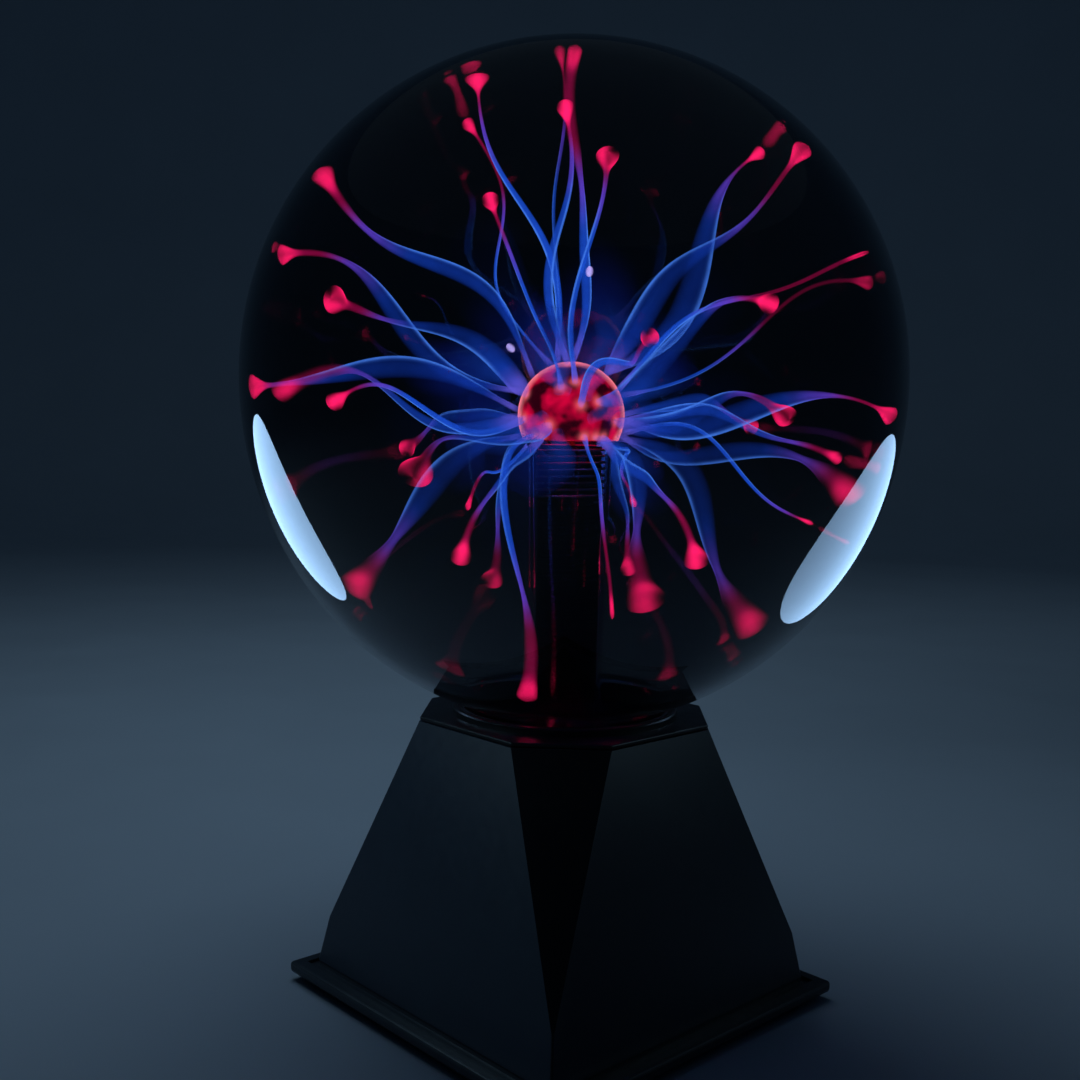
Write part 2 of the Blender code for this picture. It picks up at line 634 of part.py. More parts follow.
def make_switch(station):
    face = -HOUSING_WALL - GAP
    flange_y = face - SWITCH_FLANGE[1] / 2
    body = box("switch_body", SWITCH_FLANGE, "steel", parent=station)
    body.location = (0, flange_y, 0)
    can = box("switch_can", SWITCH_CAN, None, parent=station)
    can.location = (0, flange_y - SWITCH_CAN[1] / 2, 0)
    join(body, can)
    channel_length = SLIDER_FOOT[0] + 2 * SWITCH_TRAVEL + 0.0008
    channel_size = (channel_length, CHANNEL_DEPTH, SLIDER_FOOT[2] + 0.0008)
    channel = box("switch_channel", channel_size, None, parent=station)
    channel.location = (0, face - CHANNEL_DEPTH / 2 + 0.0002, 0)
    cut(body, channel)
    for side in (-1, 1):
        x = side * SWITCH_SCREW_AT
        hole = across_wall(
            f"flange_hole_{side}", SWITCH_HOLE_R, -0.008, 0.001, None, station, x, segments=10
        )
        cut(body, hole)
    foot_y = face - SLIDER_FOOT_DEPTH
    slider = box("switch_slider", SLIDER_FOOT, "component_black", parent=station)
    slider.location = (0, foot_y, 0)
    knob_length = KNOB_OUT - foot_y
    knob_size = (KNOB_SIZE[0], knob_length, KNOB_SIZE[1] - 0.0004)
    knob = box("switch_knob", knob_size, None, parent=station)
    knob.location = (0, foot_y + knob_length / 2, 0)
    join(slider, knob)
    for i in (-1, 0, 1):
        groove = box(f"knob_groove_{i}", KNOB_GROOVE, None, parent=station)
        groove.location = (i * KNOB_GROOVE_PITCH, KNOB_OUT, 0)
        cut(slider, groove)


def make_jack(station):
    face = -HOUSING_WALL - GAP
    jack = box("power_jack", JACK_SIZE, "component_black", parent=station)
    jack.location = (0, face - JACK_SIZE[1] / 2, 0)
    nose = across_wall("jack_nose", JACK_NOSE_R, face - 0.001, -0.0002, None, station, segments=24)
    bore = across_wall("jack_bore", JACK_BORE_R, -JACK_BORE_DEPTH, 0.002, None, station, segments=20)
    pin_from = -JACK_BORE_DEPTH - 0.001
    pin = across_wall("jack_pin", JACK_PIN_R, pin_from, -JACK_PIN_DEPTH, None, station, segments=10)
    join(jack, nose)
    cut(jack, bore)
    join(jack, pin)


# ---- electronics --------------------------------------------------------------------------------


def make_board():
    thick = BOARD_SIZE[2]
    board = box("circuit_board", BOARD_SIZE, "board_green", (0, BOARD_Y, BOARD_Z + thick / 2))
    for i, (x, y) in enumerate(four_corners(*STANDOFF_AT)):
        at = (x, y + BOARD_Y)
        hole = rod(
            f"board_hole_{i}", BOARD_HOLE_R, BOARD_Z - 0.001, BOARD_TOP_Z + 0.001, None, at, segments=10
        )
        cut(board, hole)


def make_flyback():
    """The transformer. What it returns is where the high-voltage lead leaves its winding."""
    at = Vector((*CORE_AT, ON_BOARD_Z + CORE_SIZE[2] / 2))
    core = box("flyback_core", CORE_SIZE, "ferrite", at)
    cut(core, box("core_window", CORE_WINDOW, None, at))
    leg_wide = (CORE_SIZE[0] - CORE_WINDOW[0]) / 2
    leg_at = (at.x + (CORE_SIZE[0] - leg_wide) / 2, at.y, at.z)
    winding_mesh = rod_mesh(WINDING_R, CORE_WINDOW[2] - 2 * GAP, 24, bevel=0.0008)
    winding = add("flyback_winding", winding_mesh, "winding_tape", leg_at)
    leg_size = (leg_wide + 2 * GAP, CORE_SIZE[1] + 2 * GAP, 0.05)
    cut(winding, box("leg_way", leg_size, None, leg_at))
    return Vector((leg_at[0], at.y - 0.0064, at.z + CORE_WINDOW[2] / 2))


def make_components():
    sink_at = (*SINK_AT, ON_BOARD_Z + SINK_SIZE[2] / 2)
    sink = box("heat_sink", SINK_SIZE, "aluminium", sink_at)
    for i in range(4):
        gap_at = (sink_at[0] + 0.0030, sink_at[1] + (i - 1.5) * FIN_PITCH, sink_at[2])
        cut(sink, box(f"fin_gap_{i}", FIN_GAP, None, gap_at))
    tab_x = sink_at[0] - SINK_SIZE[0] / 2 - GAP - TRANSISTOR_SIZE[0] / 2
    transistor = box("power_transistor", TRANSISTOR_SIZE, "component_black", (tab_x, *sink_at[1:]))
    leg_z = ON_BOARD_Z + TRANSISTOR_LEG[2] / 2
    for i in (-1, 0, 1):
        leg_at = (tab_x, sink_at[1] + i * TRANSISTOR_LEG_PITCH, leg_z)
        join(transistor, box(f"transistor_leg_{i}", TRANSISTOR_LEG, None, leg_at))
    for i, (radius, height, at) in enumerate(CAPACITORS, 1):
        top = ON_BOARD_Z + height
        rod(f"filter_capacitor_{i}", radius, ON_BOARD_Z, top, "capacitor_sleeve", at, 20, 0.0006)
    chip_at = (*CHIP_AT, ON_BOARD_Z + CHIP_SIZE[2] / 2)
    box("driver_chip", CHIP_SIZE, "component_black", chip_at, bevel=0.0003)
    microphone_top = ON_BOARD_Z + MICROPHONE_H
    rod("microphone", MICROPHONE_R, ON_BOARD_Z, microphone_top, "aluminium", MICROPHONE_AT, 18, 0.0003)


def make_leads(hv_start):
    hv_route = [
        hv_start + Vector((0, 0, GAP)),
        hv_start + Vector((0, 0, 0.0090)),
        Vector((hv_start.x * 0.4, hv_start.y * 0.4, 0.0600)),
        Vector((0, 0, 0.0680)),
        Vector((0, 0, 0.0800)),
        Vector((0, 0, 0.1300)),
        Vector((0, 0, HV_LEAD_TOP_Z)),
    ]
    wire("hv_lead", smooth_path(hv_route, 4), HV_LEAD_R, "red_lead")
    back = HOUSING_HALF - (STATION_Z - HOUSING_Z) * math.tan(WALL_LEAN)
    for name, middle, depth in (("jack_lead", JACK_X, 0.0160), ("switch_lead", SWITCH_X, 0.0125)):
        for i, material in enumerate(("component_black", "red_lead")):
            side = 2 * i - 1
            x = middle + side * LEAD_HALF_PITCH
            start = Vector((x, back - depth, STATION_Z - LEAD_HALF_PITCH))
            route = [
                start,
                start + Vector((0, -0.0030, -0.0004)),
                start + Vector((-side * 0.0004, -0.0085, -0.0038)),
                Vector((x, 0.0225, ON_BOARD_Z + 0.0030)),
                Vector((x, 0.0220, ON_BOARD_Z)),
            ]
            wire(f"{name}_{i + 1}", smooth_path(route, 4), LEAD_R, material, resolution=1)


def main():
    start_scene()
    make_globe()
    make_stem()
    make_electrode()
    make_stem_filling()
    switch_station = wall_station("switch_station", SWITCH_X)
    jack_station = wall_station("jack_station", JACK_X)
    make_housing(switch_station, jack_station)
    make_plate()
    make_collar()
    make_neck_mount()
    make_feet()
    make_screws(switch_station)
    make_switch(switch_station)
    make_jack(jack_station)
    make_board()
    hv_start = make_flyback()
    make_components()
    make_leads(hv_start)


main()
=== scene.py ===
"""Plasma ball: fine glass, plasma, finishes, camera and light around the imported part."""

import math

import bmesh
import bpy
import numpy as np
from mathutils import Matrix, Vector, noise


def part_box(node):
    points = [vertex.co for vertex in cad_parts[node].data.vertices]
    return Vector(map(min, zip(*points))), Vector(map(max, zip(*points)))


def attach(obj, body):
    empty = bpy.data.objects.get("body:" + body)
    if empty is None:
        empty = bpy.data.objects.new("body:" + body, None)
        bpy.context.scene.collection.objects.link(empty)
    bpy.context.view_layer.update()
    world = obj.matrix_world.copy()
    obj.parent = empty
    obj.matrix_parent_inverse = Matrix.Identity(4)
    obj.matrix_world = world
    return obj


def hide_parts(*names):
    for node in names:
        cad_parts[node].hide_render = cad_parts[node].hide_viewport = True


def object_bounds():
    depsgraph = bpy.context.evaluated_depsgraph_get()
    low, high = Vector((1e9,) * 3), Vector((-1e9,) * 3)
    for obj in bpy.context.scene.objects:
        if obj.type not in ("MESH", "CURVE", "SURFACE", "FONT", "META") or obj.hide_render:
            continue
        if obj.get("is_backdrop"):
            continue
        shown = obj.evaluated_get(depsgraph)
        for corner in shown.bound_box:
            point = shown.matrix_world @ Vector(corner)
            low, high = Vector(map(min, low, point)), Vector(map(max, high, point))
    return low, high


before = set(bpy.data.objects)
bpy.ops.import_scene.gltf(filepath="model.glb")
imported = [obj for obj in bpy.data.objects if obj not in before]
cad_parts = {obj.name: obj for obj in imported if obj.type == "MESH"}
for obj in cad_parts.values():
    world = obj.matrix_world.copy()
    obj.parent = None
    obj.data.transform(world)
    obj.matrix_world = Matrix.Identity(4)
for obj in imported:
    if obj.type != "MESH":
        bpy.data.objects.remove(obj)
bounds_at_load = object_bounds()

UP = Vector((0, 0, 1))

# The globe and the glass in it, in metres, read off the CAD boxes where they show it.
globe_low, globe_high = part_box("glass_globe")
stem_low, stem_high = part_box("glass_stem")
sleeve_low, sleeve_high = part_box("stem_sleeve")
liner_low, liner_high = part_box("electrode_liner")
GLOBE_R = globe_high.x
GLOBE_Z = globe_high.z - GLOBE_R
GLOBE_DROP = 1.047 * GLOBE_R  # below its middle the globe is a little taller than a sphere
GLOBE_WALL = 0.0020
NECK_R = 0.0305
NECK_TOP_Z = 0.0900
NECK_BEND = 0.0032
SHOULDER_R = 0.0345  # where the globe turns down to its neck
BULB_R = 0.0163
BULB_Z = stem_high.z - BULB_R
BULB_WALL = 0.0012
STEM_TOP_R = 0.0129
STEM_LOW_R = 0.0113
STEM_LOW_Z = 0.1000
STEM_WALL = 0.0010
STEM_BEND = 0.0030  # height of the bend from the bulb to the stem's tube
FLARE_BEND = 0.0006
FLARE_R = stem_high.x
FLARE_Z = stem_low.z
LINER_R = liner_high.z - BULB_Z
LINER_WALL = 0.0010
SLEEVE_BORE_R = 0.0084
RIB_PITCH = 0.00145
# The groove between two ribs: shares of the pitch, and depths.
RIB_GROOVE = ((0.0, 0.0), (0.12, 0.00016), (0.3, 0.00032), (0.5, 0.00016), (0.62, 0.0))
GLOBE_CENTRE = Vector((0, 0, GLOBE_Z))
BULB_CENTRE = Vector((0, 0, BULB_Z))

# The camera, in degrees and metres, and its lens in millimetres.
AZIMUTH, ELEVATION, ROLL = 47.12, 4.41, 1.23
DISTANCE = 0.38398
AIM = (-0.00881, 0.14408)  # sideways from the axis, and height
LENS = 41.05
SENSOR = 36
NEAREST = 0.01


def linear(red, green, blue):
    """An sRGB colour, 0 to 255, as linear light."""
    out = []
    for value in (red, green, blue):
        share = value / 255
        out.append(share / 12.92 if share <= 0.04045 else ((share + 0.055) / 1.055) ** 2.4)
    return out


def mix(a, b, share):
    """The colour this share of the way from a to b."""
    return [x + (y - x) * share for x, y in zip(a, b)]


def smooth(value, low, high):
    """0 below low, 1 above high, and an even S between them."""
    share = min(1.0, max(0.0, (value - low) / (high - low)))
    return share * share * (3 - 2 * share)


# ---- camera -------------------------------------------------------------------------------------

azimuth, elevation, roll = (math.radians(x) for x in (AZIMUTH, ELEVATION, ROLL))
RIGHT = Vector((math.cos(azimuth), math.sin(azimuth), 0))
BACK = Vector(
    (
        math.sin(azimuth) * math.cos(elevation),
        -math.cos(azimuth) * math.cos(elevation),
        math.sin(elevation),
    )
)
CAMERA_UP = BACK.cross(RIGHT)
AWAY = Vector((-math.sin(azimuth), math.cos(azimuth), 0))  # level, from the camera through the ball
EYE = RIGHT * AIM[0] + UP * AIM[1] + BACK * DISTANCE
FRAME_SIDE = RIGHT * math.cos(roll) + CAMERA_UP * math.sin(roll)
FRAME_UP = CAMERA_UP * math.cos(roll) - RIGHT * math.sin(roll)


def make_camera():
    data = bpy.data.cameras.new("camera")
    data.lens = LENS
    data.sensor_width = SENSOR
    data.clip_start = NEAREST
    obj = bpy.data.objects.new("camera", data)
    turn = Matrix((FRAME_SIDE, FRAME_UP, BACK)).transposed()
    obj.matrix_world = Matrix.Translation(EYE) @ turn.to_4x4()
    bpy.context.scene.collection.objects.link(obj)
    bpy.context.scene.camera = obj


# ---- materials ----------------------------------------------------------------------------------


NOISE_ROUGHNESS = 0.55
GLASS_IOR = 1.47

# Plain finishes: colour, roughness, scale of the grain, how far the colour strays, and the relief's
# strength and depth.
PLAIN = {
    "plate_black": (linear(18, 22, 28), 0.42, 1500, 0.15, 0.3, 0.00005),
    "plug_black": (linear(10, 10, 12), 0.55, 900, 0.2, 0.2, 0.00003),
    "rubber": (linear(20, 20, 22), 0.75, 900, 0.2, 0.3, 0.00005),
    "board": ((0.02, 0.17, 0.07), 0.45, 900, 0.2, 0.2, 0.00003),
    "ferrite": ((0.05, 0.05, 0.055), 0.6, 900, 0.2, 0.3, 0.00005),
    "winding": ((0.50, 0.36, 0.08), 0.45, 900, 0.2, 0.2, 0.00003),
    "component": ((0.015, 0.015, 0.018), 0.45, 900, 0.2, 0.2, 0.00003),
    "capacitor": ((0.03, 0.05, 0.13), 0.35, 900, 0.2, 0.1, 0.00002),
    "switch_knob": ((0.016, 0.016, 0.018), 0.5, 900, 0.2, 0.2, 0.00003),
    "lead_red": ((0.50, 0.02, 0.02), 0.4, 900, 0.2, 0.1, 0.00002),
    "lead_black": ((0.012, 0.012, 0.014), 0.4, 900, 0.2, 0.1, 0.00002),
}
# Metal finishes: colour and roughness.
METALS = {
    "screw_steel": ((0.55, 0.55, 0.57), 0.32),
    "coil_wire": ((0.50, 0.50, 0.53), 0.30),
    "heat_sink": ((0.70, 0.71, 0.72), 0.38),
    "microphone": ((0.60, 0.61, 0.62), 0.35),
    "switch_can": ((0.55, 0.55, 0.56), 0.30),
}
METAL_GRAIN = (1200, 0.1, 0.1, 0.00002)


class Nodes:
    """A material's node tree, with short ways to add nodes."""

    def __init__(self, name):
        self.material = bpy.data.materials.new(name)
        self.material.use_nodes = True
        self.tree = self.material.node_tree
        self.tree.nodes.clear()
        self.output = self.add("ShaderNodeOutputMaterial")
        self.place = None

    def add(self, kind, **values):
        node = self.tree.nodes.new(kind)
        for key, value in values.items():
            setattr(node, key, value)
        return node

    def link(self, source, target):
        self.tree.links.new(source, target)

    def noise(self, scale, detail):
        if self.place is None:
            self.place = self.add("ShaderNodeTexCoord").outputs["Object"]
        node = self.add("ShaderNodeTexNoise")
        node.inputs["Scale"].default_value = scale
        node.inputs["Detail"].default_value = detail
        node.inputs["Roughness"].default_value = NOISE_ROUGHNESS
        self.link(self.place, node.inputs["Vector"])
        return node.outputs["Fac"]

    def spread(self, source, low, high, source_low=0.3, source_high=0.7):
        """The source's values from source_low to source_high, taken to low to high."""
        node = self.add("ShaderNodeMapRange")
        for key, value in (
            ("From Min", source_low),
            ("From Max", source_high),
            ("To Min", low),
            ("To Max", high),
        ):
            node.inputs[key].default_value = value
        self.link(source, node.inputs["Value"])
        return node.outputs["Result"]

    def ramp(self, source, *stops):
        node = self.add("ShaderNodeValToRGB")
        elements = node.color_ramp.elements
        while len(elements) < len(stops):
            elements.new(0.5)
        for element, (at, color) in zip(elements, stops):
            element.position = at
            element.color = (*color, 1)
        self.link(source, node.inputs["Fac"])
        return node.outputs["Color"]

    def bump(self, height, strength, distance):
        node = self.add("ShaderNodeBump")
        node.inputs["Strength"].default_value = strength
        node.inputs["Distance"].default_value = distance
        self.link(height, node.inputs["Height"])
        return node.outputs["Normal"]

    def principled(self, **sockets):
        node = self.add("ShaderNodeBsdfPrincipled")
        for key, value in sockets.items():
            node.inputs[key.replace("_", " ")].default_value = value
        return node


def surface(name, color, roughness, grain, contrast, relief, depth, **sockets):
    """A solid finish whose colour, roughness and relief vary a little."""
    nodes = Nodes(name)
    shader = nodes.principled(**sockets)
    patches = nodes.noise(grain / 12, 4)
    dark = [c * (1 - contrast) for c in color]
    light = [c * (1 + contrast) for c in color]
    nodes.link(nodes.ramp(patches, (0.3, dark), (0.7, light)), shader.inputs["Base Color"])
    wear = nodes.noise(grain / 5, 5)
    nodes.link(nodes.spread(wear, roughness * 0.85, roughness * 1.15), shader.inputs["Roughness"])
    nodes.link(nodes.bump(nodes.noise(grain, 2), relief, depth), shader.inputs["Normal"])
    nodes.link(shader.outputs["BSDF"], nodes.output.inputs["Surface"])
    return nodes.material


def housing_finish():
    """Satin black faces with a fine grain. The corner chamfers are smoother, and their colour goes near
    black: painted shade for the dark room they face.
    """
    nodes = Nodes("housing_black")
    shader = nodes.principled()
    # A chamfer is where the X and Y of the normal are both far from 0.
    facing = nodes.add("ShaderNodeSeparateXYZ")
    nodes.link(nodes.add("ShaderNodeTexCoord").outputs["Normal"], facing.inputs["Vector"])
    product = nodes.add("ShaderNodeMath", operation="MULTIPLY")
    nodes.link(facing.outputs["X"], product.inputs[0])
    nodes.link(facing.outputs["Y"], product.inputs[1])
    size = nodes.add("ShaderNodeMath", operation="ABSOLUTE")
    nodes.link(product.outputs[0], size.inputs[0])
    chamfer = nodes.spread(size.outputs[0], 0.0, 1.0, 0.15, 0.40)
    patches = nodes.noise(120, 4)
    color = nodes.ramp(patches, (0.3, linear(20, 26, 36)), (0.7, linear(22, 29, 39)))
    # Painted shade: the chamfers' colour goes to near black, as the dark room they face shows in them.
    chamfer_painted_shade = nodes.add("ShaderNodeMix", data_type="RGBA")
    nodes.link(chamfer, chamfer_painted_shade.inputs["Factor"])
    nodes.link(color, chamfer_painted_shade.inputs["A"])
    chamfer_painted_shade.inputs["B"].default_value = (*linear(6, 7, 9), 1)
    nodes.link(chamfer_painted_shade.outputs["Result"], shader.inputs["Base Color"])
    worn = nodes.spread(nodes.noise(300, 5), 0.39, 0.43)
    smoother = nodes.add("ShaderNodeMath", operation="MULTIPLY_ADD")
    nodes.link(chamfer, smoother.inputs[0])
    smoother.inputs[1].default_value = -0.20
    nodes.link(worn, smoother.inputs[2])
    nodes.link(smoother.outputs[0], shader.inputs["Roughness"])
    nodes.link(nodes.bump(nodes.noise(1500, 2), 0.22, 0.00004), shader.inputs["Normal"])
    nodes.link(shader.outputs["BSDF"], nodes.output.inputs["Surface"])
    return nodes.material


def glass(name, color, waves, depth):
    """Glass that lets light rays through, so that what is inside is lit and the shadow is clear."""
    nodes = Nodes(name)
    shader = nodes.principled(Transmission_Weight=1.0, IOR=GLASS_IOR)
    tint = nodes.noise(waves, 2)
    dark = [c * 0.94 for c in color]
    nodes.link(nodes.ramp(tint, (0.3, dark), (0.7, color)), shader.inputs["Base Color"])
    smears = nodes.noise(waves * 3, 3)
    nodes.link(nodes.spread(smears, 0.0, 0.012), shader.inputs["Roughness"])
    nodes.link(nodes.bump(nodes.noise(waves, 1), 0.15, depth), shader.inputs["Normal"])
    clear = nodes.add("ShaderNodeBsdfTransparent")
    clear.inputs["Color"].default_value = (*[math.sqrt(c) for c in color], 1)
    blend = nodes.add("ShaderNodeMixShader")
    path = nodes.add("ShaderNodeLightPath")
    nodes.link(path.outputs["Is Shadow Ray"], blend.inputs["Fac"])
    nodes.link(shader.outputs["BSDF"], blend.inputs[1])
    nodes.link(clear.outputs["BSDF"], blend.inputs[2])
    nodes.link(blend.outputs["Shader"], nodes.output.inputs["Surface"])
    return nodes.material


def glowing(name, strength):
    """Plasma: its colour and how solid it looks are painted on the mesh. A fine noise stirs its light."""
    nodes = Nodes(name)
    shader = nodes.principled(Roughness=1.0, Specular_IOR_Level=0.0)
    shader.inputs["Base Color"].default_value = (0, 0, 0, 1)
    paint = nodes.add("ShaderNodeAttribute", attribute_name="glow")
    stir = nodes.spread(nodes.noise(220, 3), strength * 0.85, strength * 1.15)
    nodes.link(paint.outputs["Color"], shader.inputs["Emission Color"])
    nodes.link(stir, shader.inputs["Emission Strength"])
    nodes.link(paint.outputs["Alpha"], shader.inputs["Alpha"])
    nodes.link(shader.outputs["BSDF"], nodes.output.inputs["Surface"])
    nodes.material.cycles.emission_sampling = "NONE"
    return nodes.material


def make_materials():
    """The finish for each CAD slot but the electrode's, whose node has a piece in its place."""
    made = {name: surface(name, *look) for name, look in PLAIN.items()}
    for name, (color, roughness) in METALS.items():
        made[name] = surface(name, color, roughness, *METAL_GRAIN, Metallic=1.0)
    made["globe_glass"] = glass("globe_glass", (0.30, 0.31, 0.33), 14, 0.00008)
    made["stem_glass"] = glass("stem_glass", (0.86, 0.89, 0.93), 40, 0.00004)
    made["housing_black"] = housing_finish()
    made["collar_black"] = surface(
        "collar_black", linear(12, 13, 16), 0.34, 900, 0.15, 0.1, 0.00002, Specular_IOR_Level=0.35
    )
    made["sleeve_black"] = surface(
        "sleeve_black", linear(10, 11, 15), 0.58, 900, 0.2, 0.2, 0.00003, Specular_IOR_Level=0.2
    )
    return made


# ---- meshes -------------------------------------------------------------------------------------

TINY = 1e-6
BEVEL_STEPS, CORNER_STEPS = 3, 5
SHORTEST = 4  # edges shorter than this many widths of the rounding stay sharp
SHARPEST_FLAT = math.radians(20)  # edges that turn more than this are rounded
# What tells the base's corner edges from the rest.
CORNER_SLACK = 0.0002
CORNER_OUT = 0.045
CORNER_RISE = 0.004


def piece(name, mesh, material, replaces=(), sharp=0):
    """A mesh that is part of the object and rides on the ball."""
    mesh.shade_smooth()
    if sharp:
        mesh.set_sharp_from_angle(angle=math.radians(sharp))
    mesh.materials.clear()
    mesh.materials.append(material)
    obj = bpy.data.objects.new(name, mesh)
    bpy.context.scene.collection.objects.link(obj)
    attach(obj, "ball")
    if replaces:
        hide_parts(*replaces)
    return obj


def turned(name, outline, steps):
    """The (radius, height) outline swept about Z. It closes on itself, or on the axis at both ends."""
    on_axis = outline[0][0] < TINY
    bm = bmesh.new()
    rings = []
    for radius, height in outline:
        if radius < TINY:
            rings.append([bm.verts.new((0, 0, height))])
            continue
        angles = [math.tau * i / steps for i in range(steps)]
        rings.append([bm.verts.new((radius * math.cos(a), radius * math.sin(a), height)) for a in angles])
    pairs = list(zip(rings, rings[1:]))
    if not on_axis:
        pairs.append((rings[-1], rings[0]))
    for first, second in pairs:
        for i in range(steps):
            j = (i + 1) % steps
            if len(first) == 1:
                bm.faces.new((first[0], second[i], second[j]))
            elif len(second) == 1:
                bm.faces.new((first[i], second[0], first[j]))
            else:
                bm.faces.new((first[i], second[i], second[j], first[j]))
    bmesh.ops.recalc_face_normals(bm, faces=bm.faces)
    mesh = bpy.data.meshes.new(name)
    bm.to_mesh(mesh)
    bm.free()
    return mesh


def arc(radius, height, start, end, count, drop=None):
    """Points of an arc about the axis, angles in degrees down from the top. drop is its radius in Z."""
    tall = radius if drop is None else drop
    angles = [math.radians(start + (end - start) * i / (count - 1)) for i in range(count)]
    return [(radius * math.sin(a), height + tall * math.cos(a)) for a in angles]


def bend(start, corner, end, count):
    """A quadratic curve between two points, without its first."""
    made = []
    for i in range(1, count + 1):
        t = i / count
        weights = ((1 - t) ** 2, 2 * t * (1 - t), t * t)
        made.append(tuple(sum(w * p[k] for w, p in zip(weights, (start, corner, end))) for k in (0, 1)))
    return made


def globe_side(inset, count):
    """The globe's outline from the top down, this far inside its outer face."""
    radius = GLOBE_R - inset
    drop = GLOBE_DROP - inset
    neck = NECK_R - inset
    shoulder = math.degrees(math.asin((SHOULDER_R - inset) / radius))
    upper = arc(radius, GLOBE_Z, 0, 90, count)
    lower = arc(radius, GLOBE_Z, 90, 180 - shoulder, count, drop)
    throat = bend(lower[-1], (neck, NECK_TOP_Z + NECK_BEND), (neck, NECK_TOP_Z), 8)
    return [*upper, *lower[1:], *throat, (neck, globe_low.z)]


def make_globe(finishes):
    outline = globe_side(0, 48) + globe_side(GLOBE_WALL, 48)[::-1]
    mesh = turned("globe", outline, 192)
    return piece("globe", mesh, finishes["globe_glass"], ["glass_globe"], sharp=50)


def stem_side(inset, count):
    """The outline of the bulb and the stem from the top down: outer face for inset 0, inner for 1."""
    bulb = BULB_R - inset * BULB_WALL
    top = STEM_TOP_R - inset * STEM_WALL
    low = STEM_LOW_R - inset * STEM_WALL
    meets = 180 - math.degrees(math.asin(top / bulb)) - 4
    side = arc(bulb, BULB_Z, 0, meets, count)
    joint = (top, side[-1][1] - STEM_BEND)
    flare_start = (low, STEM_LOW_Z)
    flare_end = (FLARE_R, FLARE_Z + STEM_WALL * (1 - inset))
    corner = (low + FLARE_BEND, FLARE_Z + STEM_WALL * (1 - inset) + FLARE_BEND)
    below = bend(side[-1], (top + 0.0002, side[-1][1] - 0.0010), joint, 5)
    return [*side, *below, flare_start, *bend(flare_start, corner, flare_end, 12)]


def make_stem(finishes):
    outline = stem_side(0, 30) + stem_side(1, 30)[::-1]
    mesh = turned("stem_glass", outline, 96)
    piece("stem", mesh, finishes["stem_glass"], ["glass_stem"], sharp=50)


def make_sleeve(finishes):
    """The black sleeve in the stem, with its fine ribs."""
    outer = sleeve_high.x
    low, high = sleeve_low.z, sleeve_high.z
    outline = [(SLEEVE_BORE_R, low), (outer, low)]
    height = low + RIB_PITCH / 2
    while height < high - RIB_PITCH:
        for lift, depth in RIB_GROOVE:
            outline.append((outer - depth, height + lift * RIB_PITCH))
        height += RIB_PITCH
    outline += [(outer, high), (SLEEVE_BORE_R, high)]
    mesh = turned("sleeve", outline, 96)
    piece("ribbed_sleeve", mesh, finishes["sleeve_black"], ["stem_sleeve"], sharp=40)


def is_corner(edge):
    """True for the base's outer corner edges, which rise along its diagonals."""
    a, b = (v.co for v in edge.verts)
    on_diagonal = all(abs(abs(p.x) - abs(p.y)) < CORNER_SLACK and abs(p.x) > CORNER_OUT for p in (a, b))
    return on_diagonal and a.x * b.x > 0 and a.y * b.y > 0 and abs(a.z - b.z) > CORNER_RISE


def rounded(bm, edges, width, steps):
    bmesh.ops.bevel(
        bm, geom=edges, offset=width, segments=steps, profile=0.5, affect="EDGES", clamp_overlap=True
    )


def softened(node, name, finishes, slot, width, corners=0.0):
    """A CAD solid again with its flat faces whole and its edges rounded, its upright corners more."""
    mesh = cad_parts[node].data.copy()
    bm = bmesh.new()
    bm.from_mesh(mesh)
    bmesh.ops.remove_doubles(bm, verts=bm.verts, dist=TINY)
    bmesh.ops.dissolve_limit(
        bm, angle_limit=math.radians(1), verts=bm.verts, edges=bm.edges, use_dissolve_boundaries=False
    )
    if corners:
        rounded(bm, [e for e in bm.edges if is_corner(e)], corners, CORNER_STEPS)
    turning = [e for e in bm.edges if e.is_manifold and e.calc_face_angle(0) > SHARPEST_FLAT]
    rounded(bm, [e for e in turning if e.calc_length() > SHORTEST * width], width, BEVEL_STEPS)
    bm.to_mesh(mesh)
    bm.free()
    mesh.name = name
    return piece(name, mesh, finishes[slot], [node], sharp=25)


# ---- plasma -------------------------------------------------------------------------------------

PALE = linear(196, 176, 255)
LILAC = linear(120, 104, 238)
BLUE = linear(30, 84, 214)
EDGE_BLUE = linear(78, 138, 250)
DEEP_BLUE = linear(22, 66, 188)
NAVY = linear(12, 30, 120)
VIOLET = linear(104, 66, 206)
MAGENTA = linear(184, 10, 84)
PINK = linear(252, 26, 96)

